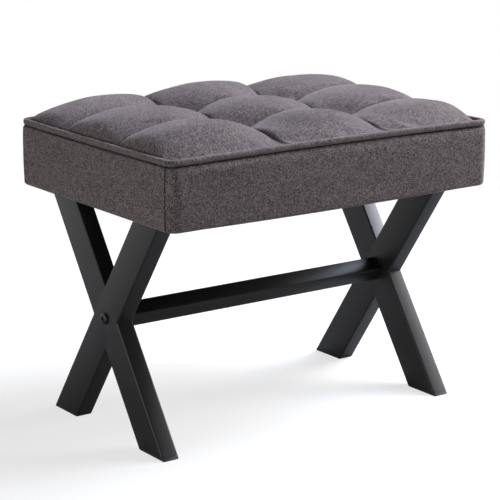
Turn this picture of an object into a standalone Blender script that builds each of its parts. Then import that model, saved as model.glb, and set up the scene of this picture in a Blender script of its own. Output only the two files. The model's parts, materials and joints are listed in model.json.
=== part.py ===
"""Upholstered footstool: a tufted box seat on two X frames of flat tube, joined by a square rail.

Metres, +Z up. X runs along the seat's width and Y along its depth, front at -Y.
The origin is on the floor under the middle of the seat.
"""
import math

import bmesh
import bpy
from mathutils import Vector

# Fits
GAP = 0.0003                    # between pieces that touch
BOLT_CLEARANCE = 0.0003         # round a bolt, in its hole or thread

# Seat cover
SEAT_WIDTH = 0.530              # over the fullest part of the bands
SEAT_DEPTH = 0.380
SEAT_CORNER_RADIUS = 0.020
BAND_HEIGHT = 0.084             # lower edge of the seat up to the piping seam
COVER_THICKNESS = 0.0018        # cloth with its backing
BAND_DRAW_TOP = 0.001           # the piping seam pulls the band in by this much
BAND_UPRIGHT = 0.6              # share of the wall's height below that pull
BAND_EDGE_RADIUS = 0.005        # fold along the lower edge
FOLD_CORNER_RADIUS = 0.004      # inner corner of the cloth turned under the board
CORNER_SEAM_TURN = math.radians(75)   # front and back bands reach this far round each corner
PIPING_DIAMETER = 0.008

# Tufted top
TUFT_COLUMNS = 3
TUFT_ROWS = 3
TUFT_CROWN = 0.0365             # crown of a pillow above the panel's edge
TUFT_SEAM_RISE = 0.012          # sewn valleys above the panel's edge, inside the panel
TUFT_FULLNESS = 0.55            # below 1 the pillow is fuller near its seams

# Inside the seat
BOARD_THICKNESS = 0.015

# X frames
FRAME_HEIGHT = 0.3165           # floor to the top of the mounting plate
FRAME_INSET = 0.019             # side of the seat to the outer face of the legs
LEG_WIDTH = 0.050
LEG_THICKNESS = 0.025
LEG_WALL = 0.0015
LEG_EDGE_RADIUS = 0.0025
LEG_EDGE_BLEND = 0.004          # from a round edge to the square one where two legs meet
LEG_TOP_INSET = 0.084           # edge of the seat to the middle of a leg, at the frame's top
LEG_FOOT_INSET = 0.079          # the same at the floor
FOOT_CAP_THICKNESS = 0.004
FOOT_CAP_CHAMFER = 0.001
FOOT_PLUG_HEIGHT = 0.015
PLATE_WIDTH = LEG_THICKNESS     # flush with both faces of the legs
PLATE_THICKNESS = 0.004
PLATE_CORNER_RADIUS = 0.004
PLATE_END_MARGIN = 0.012        # outer hole to the end of the plate
PLATE_HOLE_OUTSIDE = 0.010      # outer hole from the outside of a leg
PLATE_HOLE_INSIDE = 0.035       # inner hole from the inside of a leg

# Rail
RAIL_SIZE = 0.025
RAIL_WALL = 0.0015
RAIL_EDGE_RADIUS = 0.002
RAIL_INSERT_LENGTH = 0.020

# Fasteners
RAIL_BOLT_DIAMETER = 0.008
RAIL_BOLT_HEAD_DIAMETER = 0.016
RAIL_BOLT_HEAD_HEIGHT = 0.004
RAIL_BOLT_SOCKET = 0.005        # across flats
RAIL_BOLT_SOCKET_DEPTH = 0.0026
RAIL_BOLT_REACH = 0.015         # into the rail's insert
BOLT_HEAD_RIM = 0.001           # straight rim under the round of a bolt's head
PLATE_BOLT_DIAMETER = 0.006
PLATE_BOLT_HEAD_DIAMETER = 0.0105
PLATE_BOLT_HEAD_HEIGHT = 0.0033
PLATE_BOLT_SOCKET = 0.004
PLATE_BOLT_SOCKET_DEPTH = 0.002
PLATE_BOLT_SETBACK = 0.002      # tip of the bolt below the top of its tee nut
WASHER_DIAMETER = 0.013
WASHER_THICKNESS = 0.0012
TEE_NUT_FLANGE_DIAMETER = 0.019
TEE_NUT_FLANGE_THICKNESS = 0.0015
TEE_NUT_BARREL_DIAMETER = 0.0078
TEE_NUT_BARREL_LENGTH = 0.010

# Facets
CORNER_STEPS = 6                # a quarter turn of the seat's corner
SECTION_STEPS = 3               # a quarter turn of a tube's edge
FOLD_STEPS = 4                  # the fold along the lower edge of a band
WALL_STEPS = 5                  # the height of a band
TUFT_STEPS = 10                 # one pillow, each way
PIPING_SIDES = 8
FASTENER_SIDES = 12
RAIL_BOLT_SIDES = 24
HEAD_STEPS = 3                  # the round of a bolt's head
CUT_PAST = 0.002                # cutters run this far past the wall they cut
SMOOTH_ANGLE = math.radians(35)

# Heights, floor upwards
PLATE_UNDERSIDE = FRAME_HEIGHT - PLATE_THICKNESS
SEAT_UNDERSIDE = FRAME_HEIGHT + GAP
BOARD_UNDERSIDE = SEAT_UNDERSIDE + COVER_THICKNESS + GAP
BOARD_TOP = BOARD_UNDERSIDE + BOARD_THICKNESS
SEAM_HEIGHT = SEAT_UNDERSIDE + BAND_HEIGHT
FOAM_TOP = SEAM_HEIGHT - COVER_THICKNESS - GAP
PIPING_HEIGHT = SEAM_HEIGHT + GAP + PIPING_DIAMETER / 2

# Distances in from the seat's outline
PIPING_INSET = BAND_DRAW_TOP + PIPING_DIAMETER / 2
TUFT_INSET = PIPING_INSET + PIPING_DIAMETER / 2 + GAP
FOAM_INSET = BAND_DRAW_TOP + COVER_THICKNESS + GAP
BOARD_INSET = BAND_EDGE_RADIUS
FOLD_INSET = SEAT_CORNER_RADIUS - FOLD_CORNER_RADIUS

# X frames, in their own plane
TOP_SPREAD = SEAT_DEPTH / 2 - LEG_TOP_INSET
FOOT_SPREAD = SEAT_DEPTH / 2 - LEG_FOOT_INSET
LEAN = math.atan2(TOP_SPREAD + FOOT_SPREAD, FRAME_HEIGHT)
CROSSING_HEIGHT = FRAME_HEIGHT * FOOT_SPREAD / (TOP_SPREAD + FOOT_SPREAD)
CROSSING = Vector((0, 0, CROSSING_HEIGHT))
FRAME_X = SEAT_WIDTH / 2 - FRAME_INSET - LEG_THICKNESS / 2
LEG_HALF_SPAN = LEG_WIDTH / 2 / math.cos(LEAN)
INNER_HOLE = TOP_SPREAD - LEG_HALF_SPAN - PLATE_HOLE_INSIDE
OUTER_HOLE = TOP_SPREAD + LEG_HALF_SPAN + PLATE_HOLE_OUTSIDE
PLATE_LENGTH = 2 * (OUTER_HOLE + PLATE_END_MARGIN)
PLATE_HOLES = [(0, y) for y in (-OUTER_HOLE, -INNER_HOLE, INNER_HOLE, OUTER_HOLE)]
SEAT_HOLES = [(side * FRAME_X, y) for side in (-1, 1) for _, y in PLATE_HOLES]

UP = Vector((0, 0, 1))
ACROSS = Vector((1, 0, 0))
SEAT_CORNERS = ((1, 1), (-1, 1), (-1, -1), (1, -1))   # counter-clockwise from +X +Y
BAND_FACING = {"right": 0, "back": 1, "left": 2, "front": 3}   # quarter turns from +X


class Leg:
    """Axis of a leg through the crossing, with its two directions in the frame's plane."""

    def __init__(self, forward):
        # A leg that leans forward runs from a back foot up to the front of the seat
        tilt = -1 if forward else 1
        self.along = Vector((0, tilt * math.sin(LEAN), math.cos(LEAN)))
        self.side = Vector((0, math.cos(LEAN), -tilt * math.sin(LEAN)))

    def cut(self, section, point, normal):
        """Ring where a tube of this section meets the plane through point."""
        ring = []
        for across, sideways in section:
            start = CROSSING + ACROSS * across + self.side * sideways
            travel = (point - start).dot(normal) / self.along.dot(normal)
            ring.append(start + self.along * travel)
        return ring

    def level(self, section, height):
        """Ring at one height above the floor."""
        return self.cut(section, UP * height, UP)


LONG_LEG = Leg(forward=True)
HALF_LEG = Leg(forward=False)


# Materials
def make_material(name, colour, roughness, metallic=0.0):
    """Principled material of one finish."""
    material = bpy.data.materials.new(name)
    material.use_nodes = True
    shader = material.node_tree.nodes["Principled BSDF"]
    shader.inputs["Base Color"].default_value = (*colour, 1.0)
    shader.inputs["Roughness"].default_value = roughness
    shader.inputs["Metallic"].default_value = metallic
    material.diffuse_color = (*colour, 1.0)
    return material


def make_materials():
    """Every finish on the stool, by name."""
    return {
        "cloth": make_material("seat_cloth", (0.105, 0.092, 0.098), 0.95),
        "foam": make_material("seat_foam", (0.72, 0.66, 0.48), 0.95),
        "plywood": make_material("plywood", (0.50, 0.35, 0.20), 0.75),
        "dust_cloth": make_material("dust_cloth", (0.020, 0.020, 0.022), 0.95),
        "powder_coat": make_material("black_powder_coat", (0.018, 0.018, 0.019), 0.45),
        "plastic": make_material("black_plastic", (0.012, 0.012, 0.012), 0.55),
        "black_steel": make_material("black_steel", (0.020, 0.020, 0.021), 0.35, 0.9),
        "zinc": make_material("zinc_plated_steel", (0.62, 0.62, 0.60), 0.35, 1.0),
    }


# Shapes
def loft(rings, closed=False, shape=None):
    """Skin through rings of equal count: capped at both ends, or joined back to the first."""
    shape = shape or bmesh.new()
    rows = [[shape.verts.new(point) for point in ring] for ring in rings]
    pairs = list(zip(rows, rows[1:]))
    if closed:
        pairs.append((rows[-1], rows[0]))
    else:
        shape.faces.new(rows[0])
        shape.faces.new(rows[-1])
    count = len(rows[0])
    for low, high in pairs:
        for index in range(count):
            following = (index + 1) % count
            shape.faces.new((low[index], low[following], high[following], high[index]))
    bmesh.ops.recalc_face_normals(shape, faces=shape.faces[:])
    return shape


def circle(radius, height, sides):
    """Ring of points about Z."""
    turns = [math.tau * step / sides for step in range(sides)]
    return [Vector((radius * math.cos(turn), radius * math.sin(turn), height)) for turn in turns]


def hexagon(across_flats, height, sides):
    """Hexagonal ring about Z, with as many points as the circles it joins."""
    ring = []
    for point in circle(1, height, sides):
        turn = math.atan2(point.y, point.x)
        from_flat = (turn + math.pi / 6) % (math.pi / 3) - math.pi / 6
        reach = across_flats / 2 / math.cos(from_flat)
        ring.append(Vector((point.x * reach, point.y * reach, height)))
    return ring


def turned(profile, sides, closed=False):
    """Body turned about Z from a list of radius and height."""
    return loft([circle(radius, height, sides) for radius, height in profile], closed)


def rounded_rectangle(width, height, radius, steps, lower_radius=None):
    """Section of a rectangle with round edges, counter-clockwise; its lower edges may differ."""
    points = []
    for quarter, (right, top) in enumerate(SEAT_CORNERS):
        corner = lower_radius if lower_radius and top < 0 else radius
        centre_x = right * (width / 2 - corner)
        centre_y = top * (height / 2 - corner)
        for step in range(steps + 1):
            turn = math.pi / 2 * (quarter + step / steps)
            points.append((centre_x + corner * math.cos(turn), centre_y + corner * math.sin(turn)))
    return points


def seat_ring(inset, height):
    """Ring that follows the seat's outline at a distance inside it."""
    outline = rounded_rectangle(
        SEAT_WIDTH - 2 * inset, SEAT_DEPTH - 2 * inset, SEAT_CORNER_RADIUS - inset, CORNER_STEPS)
    return [Vector((x, y, height)) for x, y in outline]


def make_mesh(name, shape, material=None):
    """Mesh of a shape, smooth across its round stretches."""
    mesh = bpy.data.meshes.new(name)
    shape.to_mesh(mesh)
    shape.free()
    if material:
        mesh.materials.append(material)
    mesh.shade_smooth()
    mesh.set_sharp_from_angle(angle=SMOOTH_ANGLE)
    return mesh


def place_object(name, mesh, parent, location=(0, 0, 0), rotation=(0, 0, 0)):
    """Place one copy of a mesh."""
    item = bpy.data.objects.new(name, mesh)
    bpy.context.scene.collection.objects.link(item)
    item.parent = parent
    item.location = location
    item.rotation_euler = rotation
    return item


def add_object(name, shape, material, parent):
    """Named object made from a shape, where the shape already lies."""
    return place_object(name, make_mesh(name, shape, material), parent)


def add_empty(name, parent=None, location=(0, 0, 0), rotation=(0, 0, 0)):
    """Carrier that groups the pieces of one assembly."""
    empty = place_object(name, None, parent, location, rotation)
    empty.empty_display_size = SEAT_CORNER_RADIUS
    return empty


def cut_holes(item, shape):
    """Take a shape out of an object, both in the object's own frame."""
    name = f"{item.name}_drill"
    cutter = place_object(name, make_mesh(name, shape), item)
    cutter.hide_render = True
    cutter.display_type = "WIRE"
    holes = item.modifiers.new("holes", "BOOLEAN")
    holes.operation = "DIFFERENCE"
    holes.solver = "EXACT"
    holes.object = cutter


def drills(profile, places):
    """Turned cutters of one profile, one at each place in plan."""
    shape = bmesh.new()
    for x, y in places:
        rings = [[point + Vector((x, y, 0)) for point in circle(radius, height, FASTENER_SIDES)]
                 for radius, height in profile]
        loft(rings, shape=shape)
    return shape


# Seat cover
def band_wall_inset(share):
    """How far a band lies inside the seat's outline, at a share of its wall's height."""
    return BAND_DRAW_TOP * (max(share - BAND_UPRIGHT, 0) / (1 - BAND_UPRIGHT)) ** 2


def band_profile():
    """Section of a band as inset and height: turned under, up the wall, in under the piping."""
    wall_foot = SEAT_UNDERSIDE + BAND_EDGE_RADIUS
    outside = [(FOLD_INSET, SEAT_UNDERSIDE)]
    inside = [(FOLD_INSET, SEAT_UNDERSIDE + COVER_THICKNESS)]
    for step in range(FOLD_STEPS):
        turn = math.pi / 2 * step / FOLD_STEPS
        for side, radius in ((outside, BAND_EDGE_RADIUS), (inside, BAND_EDGE_RADIUS - COVER_THICKNESS)):
            side.append((BOARD_INSET - radius * math.sin(turn), wall_foot - radius * math.cos(turn)))
    for step in range(WALL_STEPS + 1):
        share = step / WALL_STEPS
        inset = band_wall_inset(share)
        outside.append((inset, wall_foot + share * (SEAM_HEIGHT - wall_foot)))
        inside_top = SEAM_HEIGHT - COVER_THICKNESS
        inside.append((inset + COVER_THICKNESS, wall_foot + share * (inside_top - wall_foot)))
    outside.append((PIPING_INSET, SEAM_HEIGHT))
    inside.append((PIPING_INSET, SEAM_HEIGHT - COVER_THICKNESS))
    return outside + inside[::-1]


def band_stations(quarter):
    """Points and outward normals along one side, from corner seam to corner seam."""
    facing = math.pi / 2 * quarter
    turn = CORNER_SEAM_TURN if quarter % 2 else math.pi / 2 - CORNER_SEAM_TURN
    steps = max(1, round(CORNER_STEPS * turn / (math.pi / 2)))
    stations = []
    for corner, first in ((SEAT_CORNERS[quarter - 1], facing - turn), (SEAT_CORNERS[quarter], facing)):
        centre = Vector((corner[0] * (SEAT_WIDTH / 2 - SEAT_CORNER_RADIUS),
                         corner[1] * (SEAT_DEPTH / 2 - SEAT_CORNER_RADIUS), 0))
        for step in range(steps + 1):
            angle = first + turn * step / steps
            normal = Vector((math.cos(angle), math.sin(angle), 0))
            stations.append((centre + normal * SEAT_CORNER_RADIUS, normal))
    # Half the gap at each sewn end keeps neighbouring bands apart
    for index, way in ((0, 1), (-1, -1)):
        point, normal = stations[index]
        stations[index] = (point + UP.cross(normal) * (way * GAP / 2), normal)
    return stations


def make_bands(materials, seat):
    """Four side bands, sewn together near the corners and folded under the board."""
    profile = band_profile()
    for side, quarter in BAND_FACING.items():
        rings = [[point - normal * inset + UP * height for inset, height in profile]
                 for point, normal in band_stations(quarter)]
        add_object(f"band_{side}", loft(rings), materials["cloth"], seat)


def make_piping(materials, seat):
    """Covered cord round the top edge, one closed loop."""
    rings = []
    for turn in (math.tau * step / PIPING_SIDES for step in range(PIPING_SIDES)):
        inset = PIPING_INSET - PIPING_DIAMETER / 2 * math.cos(turn)
        rings.append(seat_ring(inset, PIPING_HEIGHT + PIPING_DIAMETER / 2 * math.sin(turn)))
    add_object("piping", loft(rings, closed=True), materials["cloth"], seat)


def tuft_lines(count, half):
    """Grid lines across a row of pillows, closer together near the sewn valleys."""
    lines = []
    for pillow in range(count):
        for step in range(TUFT_STEPS):
            share = (1 - math.cos(math.pi * step / TUFT_STEPS)) / 2
            lines.append(half * (2 * (pillow + share) / count - 1))
    return lines + [half]


def pillow_swell(place, count):
    """Fullness of a row of pillows at a place from -1 to 1: 0 in a valley, 1 on a crown."""
    cell = (place + 1) / 2 * count
    offset = 2 * (cell - min(math.floor(cell), count - 1)) - 1
    return max(0.0, 1 - offset * offset)


def tuft_height(across, deep):
    """Height of the top panel above its edge; both places run from -1 to 1."""
    valley = TUFT_SEAM_RISE * (1 - across ** 4) * (1 - deep ** 4)
    swell = (pillow_swell(across, TUFT_COLUMNS) * pillow_swell(deep, TUFT_ROWS)) ** TUFT_FULLNESS
    return valley + (TUFT_CROWN - valley) * swell


def round_corner(x, y, half_x, half_y, radius):
    """Draw the square corner of a grid in to a round one."""
    past_x = abs(x) - (half_x - radius)
    past_y = abs(y) - (half_y - radius)
    if past_x <= 0 or past_y <= 0:
        return x, y
    shrink = max(past_x, past_y) / math.hypot(past_x, past_y)
    return (math.copysign(half_x - radius + past_x * shrink, x),
            math.copysign(half_y - radius + past_y * shrink, y))


def make_tufted_top(materials, seat):
    """Quilted top panel: pillows in rows and columns with sewn valleys between them."""
    half_x = SEAT_WIDTH / 2 - TUFT_INSET
    half_y = SEAT_DEPTH / 2 - TUFT_INSET
    radius = SEAT_CORNER_RADIUS - TUFT_INSET
    columns = tuft_lines(TUFT_COLUMNS, half_x)
    rows = tuft_lines(TUFT_ROWS, half_y)
    shape = bmesh.new()
    grid = []
    for y in rows:
        line = []
        for x in columns:
            place = round_corner(x, y, half_x, half_y, radius)
            line.append(shape.verts.new((*place, PIPING_HEIGHT + tuft_height(x / half_x, y / half_y))))
        grid.append(line)
    for low, high in zip(grid, grid[1:]):
        for index in range(len(columns) - 1):
            shape.faces.new((low[index], low[index + 1], high[index + 1], high[index]))
    right_edge = [line[-1] for line in grid[1:]]
    left_edge = [line[0] for line in grid[-2:0:-1]]
    edge = grid[0] + right_edge + grid[-1][-2::-1] + left_edge
    base = [shape.verts.new((vertex.co.x, vertex.co.y, FOAM_TOP + GAP)) for vertex in edge]
    for index, vertex in enumerate(edge):
        shape.faces.new((edge[index - 1], vertex, base[index], base[index - 1]))
    shape.faces.new(base)
    bmesh.ops.recalc_face_normals(shape, faces=shape.faces[:])
    add_object("tufted_top", shape, materials["cloth"], seat)


# Inside the seat
def make_seat_board(materials, seat):
    """Plywood board, drilled and counterbored from above for the tee nuts."""
    shape = loft([seat_ring(BOARD_INSET, BOARD_UNDERSIDE), seat_ring(BOARD_INSET, BOARD_TOP)])
    board = add_object("seat_board", shape, materials["plywood"], seat)
    barrel = TEE_NUT_BARREL_DIAMETER / 2 + GAP
    flange = TEE_NUT_FLANGE_DIAMETER / 2 + GAP
    floor = BOARD_TOP - TEE_NUT_FLANGE_THICKNESS - 2 * GAP
    profile = [(barrel, BOARD_UNDERSIDE - CUT_PAST), (barrel, floor),
               (flange, floor), (flange, BOARD_TOP + CUT_PAST)]
    cut_holes(board, drills(profile, SEAT_HOLES))


def make_foam_core(materials, seat):
    """Foam block on the board, with a lip down past the board's edge."""
    lip = SEAT_UNDERSIDE + BAND_EDGE_RADIUS
    recess = BOARD_INSET - GAP
    add_object("foam_core", loft([
        seat_ring(FOAM_INSET, FOAM_TOP), seat_ring(FOAM_INSET, lip),
        seat_ring(recess, lip), seat_ring(recess, BOARD_TOP + GAP)]), materials["foam"], seat)


def make_dust_cover(materials, seat):
    """Thin cloth that closes the underside inside the folded bands."""
    inset = FOLD_INSET + GAP
    top = SEAT_UNDERSIDE + COVER_THICKNESS
    cover = add_object("dust_cover", loft([seat_ring(inset, SEAT_UNDERSIDE), seat_ring(inset, top)]),
                       materials["dust_cloth"], seat)
    radius = PLATE_BOLT_DIAMETER / 2 + BOLT_CLEARANCE
    cut_holes(cover, drills([(radius, SEAT_UNDERSIDE - CUT_PAST), (radius, top + CUT_PAST)], SEAT_HOLES))


# X frames
def leg_section(shrink):
    """Tube section of a leg, drawn in on all sides; thickness across, width sideways."""
    radius = max(LEG_EDGE_RADIUS - shrink, GAP)
    return rounded_rectangle(LEG_THICKNESS - 2 * shrink, LEG_WIDTH - 2 * shrink, radius, SECTION_STEPS)


def leg_tube(leg, lower, upper, rings=()):
    """Hollow leg between two planes, each a point and a normal, through rings on the way up."""
    outside = leg_section(0)
    inside = leg_section(LEG_WALL)
    return loft([leg.cut(outside, *lower), *rings, leg.cut(outside, *upper),
                 leg.cut(inside, *upper), leg.cut(inside, *lower)], closed=True)


def met_edge_radius(place, start, end):
    """Radius of a long leg's edge at a place along it: square where a half leg meets it."""
    away = max(start - place, place - end, 0)
    return GAP + (LEG_EDGE_RADIUS - GAP) * min(1, away / LEG_EDGE_BLEND)


def crossing_rings(met_plane):
    """Rings of the long leg through the crossing, where its faces run flush into the half legs."""
    met = [(point - CROSSING).dot(LONG_LEG.along) for point in HALF_LEG.cut(leg_section(0), *met_plane)]
    start = min(met)
    end = max(met)
    places = [start - LEG_EDGE_BLEND, start, end, end + LEG_EDGE_BLEND]
    rings = []
    for place in sorted(places + [-place for place in places]):
        section = rounded_rectangle(LEG_THICKNESS, LEG_WIDTH, met_edge_radius(place, start, end),
                                    SECTION_STEPS, met_edge_radius(place, -end, -start))
        rings.append(LONG_LEG.cut(section, CROSSING + LONG_LEG.along * place, LONG_LEG.along))
    return rings


def foot_cap(leg):
    """Plastic cap under a leg: a flush pad with a chamfered rim, and a plug inside the tube."""
    pad = leg_section(0)
    plug = leg_section(LEG_WALL + GAP)
    return loft([leg.level(leg_section(FOOT_CAP_CHAMFER), 0), leg.level(pad, FOOT_CAP_CHAMFER),
                 leg.level(pad, FOOT_CAP_THICKNESS), leg.level(plug, FOOT_CAP_THICKNESS),
                 leg.level(plug, FOOT_CAP_THICKNESS + FOOT_PLUG_HEIGHT)])


def mount_plate():
    """Flat bar across the top of a frame."""
    outline = rounded_rectangle(PLATE_WIDTH, PLATE_LENGTH, PLATE_CORNER_RADIUS, SECTION_STEPS)
    return loft([[Vector((x, y, height)) for x, y in outline] for height in (PLATE_UNDERSIDE, FRAME_HEIGHT)])


def socket_bolt(diameter, head_diameter, head_height, socket, socket_depth, length, sides):
    """Button-head bolt along +Z, the underside of its head at zero."""
    top = -head_height
    rim = socket / math.sqrt(3) + GAP
    rings = [circle(diameter / 2, length, sides), circle(diameter / 2, 0, sides)]
    rings.append(circle(head_diameter / 2, 0, sides))
    for step in range(HEAD_STEPS + 1):
        turn = math.pi / 2 * step / HEAD_STEPS
        radius = rim + (head_diameter / 2 - rim) * math.cos(turn)
        rings.append(circle(radius, -BOLT_HEAD_RIM + (top + BOLT_HEAD_RIM) * math.sin(turn), sides))
    rings.append(hexagon(socket, top, sides))
    rings.append(hexagon(socket, top + socket_depth, sides))
    return loft(rings)


def washer():
    """Flat washer, its underside at zero."""
    bore = PLATE_BOLT_DIAMETER / 2 + BOLT_CLEARANCE
    rim = WASHER_DIAMETER / 2
    return turned([(bore, 0), (rim, 0), (rim, WASHER_THICKNESS), (bore, WASHER_THICKNESS)],
                  FASTENER_SIDES, closed=True)


def tee_nut():
    """Flanged nut pressed into the board from above, the top of its flange at zero."""
    bore = PLATE_BOLT_DIAMETER / 2 + BOLT_CLEARANCE
    barrel = TEE_NUT_BARREL_DIAMETER / 2
    flange = TEE_NUT_FLANGE_DIAMETER / 2
    shoulder = -TEE_NUT_FLANGE_THICKNESS
    tip = shoulder - TEE_NUT_BARREL_LENGTH
    profile = [(bore, tip), (barrel, tip), (barrel, shoulder), (flange, shoulder), (flange, 0), (bore, 0)]
    return turned(profile, FASTENER_SIDES, closed=True)


def rail_ring(section, x):
    """Ring of the rail's section, turned in line with the leg that leans forward."""
    return [CROSSING + ACROSS * x + LONG_LEG.side * a + LONG_LEG.along * b for a, b in section]


def rail_section(shrink):
    """Square section of the rail, drawn in on all sides."""
    size = RAIL_SIZE - 2 * shrink
    return rounded_rectangle(size, size, max(RAIL_EDGE_RADIUS - shrink, GAP), SECTION_STEPS)


def rail_insert(start, end):
    """Threaded plug in the rail between two distances along it."""
    outline = rail_section(RAIL_WALL + GAP)
    radius = RAIL_BOLT_DIAMETER / 2 + BOLT_CLEARANCE
    turns = [math.tau * (index + 0.5) / len(outline) for index in range(len(outline))]
    bore = [(radius * math.cos(turn), radius * math.sin(turn)) for turn in turns]
    return loft([rail_ring(outline, start), rail_ring(outline, end),
                 rail_ring(bore, end), rail_ring(bore, start)], closed=True)


def make_rail(materials, stool):
    """Square tube between the two crossings, with a threaded insert flush in each end."""
    half = FRAME_X - LEG_THICKNESS / 2 - GAP
    outside = rail_section(0)
    inside = rail_section(RAIL_WALL)
    tube = loft([rail_ring(outside, -half), rail_ring(outside, half),
                 rail_ring(inside, half), rail_ring(inside, -half)], closed=True)
    add_object("rail", tube, materials["powder_coat"], stool)
    for name, side in (("left", -1), ("right", 1)):
        insert = rail_insert(side * half, side * (half - RAIL_INSERT_LENGTH))
        add_object(f"{name}_rail_insert", insert, materials["zinc"], stool)


def make_legs(materials, name, frame):
    """One leg runs through; the other is two halves set flush against its sides."""
    foot = (UP * (FOOT_CAP_THICKNESS + GAP), UP)
    head = (UP * (PLATE_UNDERSIDE - GAP), UP)
    beside = LONG_LEG.side * (LEG_WIDTH / 2 + GAP)
    above = (CROSSING + beside, LONG_LEG.side)
    below = (CROSSING - beside, LONG_LEG.side)
    coat = materials["powder_coat"]
    long_tube = leg_tube(LONG_LEG, foot, head, crossing_rings(above))
    long_leg = add_object(f"{name}_long_leg", long_tube, coat, frame)
    add_object(f"{name}_upper_half_leg", leg_tube(HALF_LEG, above, head), coat, frame)
    add_object(f"{name}_lower_half_leg", leg_tube(HALF_LEG, foot, below), coat, frame)
    add_object(f"{name}_long_leg_foot", foot_cap(LONG_LEG), materials["plastic"], frame)
    add_object(f"{name}_half_leg_foot", foot_cap(HALF_LEG), materials["plastic"], frame)
    hole = circle(RAIL_BOLT_DIAMETER / 2 + BOLT_CLEARANCE, 0, RAIL_BOLT_SIDES)
    past = LEG_THICKNESS / 2 + CUT_PAST
    cut_holes(long_leg, loft([[CROSSING + Vector((x, point.x, point.y)) for point in hole]
                              for x in (-past, past)]))


def make_rail_bolt(materials, name, frame):
    """Bolt from the outer face of the crossing into the rail's insert."""
    length = LEG_THICKNESS + 2 * GAP + RAIL_BOLT_REACH
    shape = socket_bolt(RAIL_BOLT_DIAMETER, RAIL_BOLT_HEAD_DIAMETER, RAIL_BOLT_HEAD_HEIGHT,
                        RAIL_BOLT_SOCKET, RAIL_BOLT_SOCKET_DEPTH, length, RAIL_BOLT_SIDES)
    bolt = add_object(f"{name}_rail_bolt", shape, materials["black_steel"], frame)
    bolt.location = (-LEG_THICKNESS / 2 - GAP, 0, CROSSING_HEIGHT)
    bolt.rotation_euler = (0, math.pi / 2, 0)


def make_plate(materials, name, frame):
    """Mounting plate with its bolts, washers and tee nuts."""
    plate = add_object(f"{name}_mount_plate", mount_plate(), materials["powder_coat"], frame)
    radius = PLATE_BOLT_DIAMETER / 2 + BOLT_CLEARANCE
    profile = [(radius, PLATE_UNDERSIDE - CUT_PAST), (radius, FRAME_HEIGHT + CUT_PAST)]
    cut_holes(plate, drills(profile, PLATE_HOLES))
    nut_top = BOARD_TOP - GAP
    washer_foot = PLATE_UNDERSIDE - GAP - WASHER_THICKNESS
    head_seat = washer_foot - GAP
    length = nut_top - PLATE_BOLT_SETBACK - head_seat
    bolt = socket_bolt(PLATE_BOLT_DIAMETER, PLATE_BOLT_HEAD_DIAMETER, PLATE_BOLT_HEAD_HEIGHT,
                       PLATE_BOLT_SOCKET, PLATE_BOLT_SOCKET_DEPTH, length, FASTENER_SIDES)
    pieces = (("plate_bolt", bolt, head_seat),
              ("plate_washer", washer(), washer_foot),
              ("tee_nut", tee_nut(), nut_top))
    for piece, shape, height in pieces:
        mesh = make_mesh(f"{name}_{piece}", shape, materials["zinc"])
        for number, (x, y) in enumerate(PLATE_HOLES, start=1):
            place_object(f"{name}_{piece}_{number}", mesh, frame, (x, y, height))


def main():
    for item in list(bpy.data.objects):
        bpy.data.objects.remove(item, do_unlink=True)
    materials = make_materials()
    stool = add_empty("footstool")
    seat = add_empty("seat", stool)
    make_seat_board(materials, seat)
    make_foam_core(materials, seat)
    make_tufted_top(materials, seat)
    make_bands(materials, seat)
    make_piping(materials, seat)
    make_dust_cover(materials, seat)
    make_rail(materials, stool)
    # The right frame is the left one turned half round
    for name, x, turn in (("left", -FRAME_X, 0), ("right", FRAME_X, math.pi)):
        frame = add_empty(f"{name}_frame", stool, (x, 0, 0), (0, 0, turn))
        make_legs(materials, name, frame)
        make_plate(materials, name, frame)
        make_rail_bolt(materials, name, frame)


main()
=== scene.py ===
"""Looks of the footstool: tufted cloth seat, welded X frames, studio floor, lights and camera.

Metres, +Z up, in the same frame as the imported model.
"""
import json
import random
from math import acos, atan2, copysign, cos, dist, exp, hypot, pi, radians, sin, sqrt, tan, tau

import bmesh
import bpy
import numpy as np
from mathutils import Matrix, Vector, noise


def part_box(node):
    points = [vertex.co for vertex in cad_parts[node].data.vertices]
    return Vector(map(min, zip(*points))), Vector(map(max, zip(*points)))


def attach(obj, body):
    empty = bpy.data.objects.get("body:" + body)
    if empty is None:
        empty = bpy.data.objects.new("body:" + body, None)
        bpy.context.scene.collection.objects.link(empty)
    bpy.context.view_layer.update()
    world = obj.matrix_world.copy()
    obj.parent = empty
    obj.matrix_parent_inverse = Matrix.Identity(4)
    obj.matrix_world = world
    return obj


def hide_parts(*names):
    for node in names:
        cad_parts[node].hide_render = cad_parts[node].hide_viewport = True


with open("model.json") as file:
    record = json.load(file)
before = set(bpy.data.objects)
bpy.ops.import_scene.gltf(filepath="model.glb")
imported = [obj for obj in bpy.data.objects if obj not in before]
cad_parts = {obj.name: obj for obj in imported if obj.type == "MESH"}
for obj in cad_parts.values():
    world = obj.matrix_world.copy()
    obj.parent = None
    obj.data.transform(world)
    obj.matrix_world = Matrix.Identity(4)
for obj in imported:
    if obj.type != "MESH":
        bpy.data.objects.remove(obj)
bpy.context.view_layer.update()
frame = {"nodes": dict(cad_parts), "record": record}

BODY = "root"  # the stool has no joints, so one body carries every piece

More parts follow.
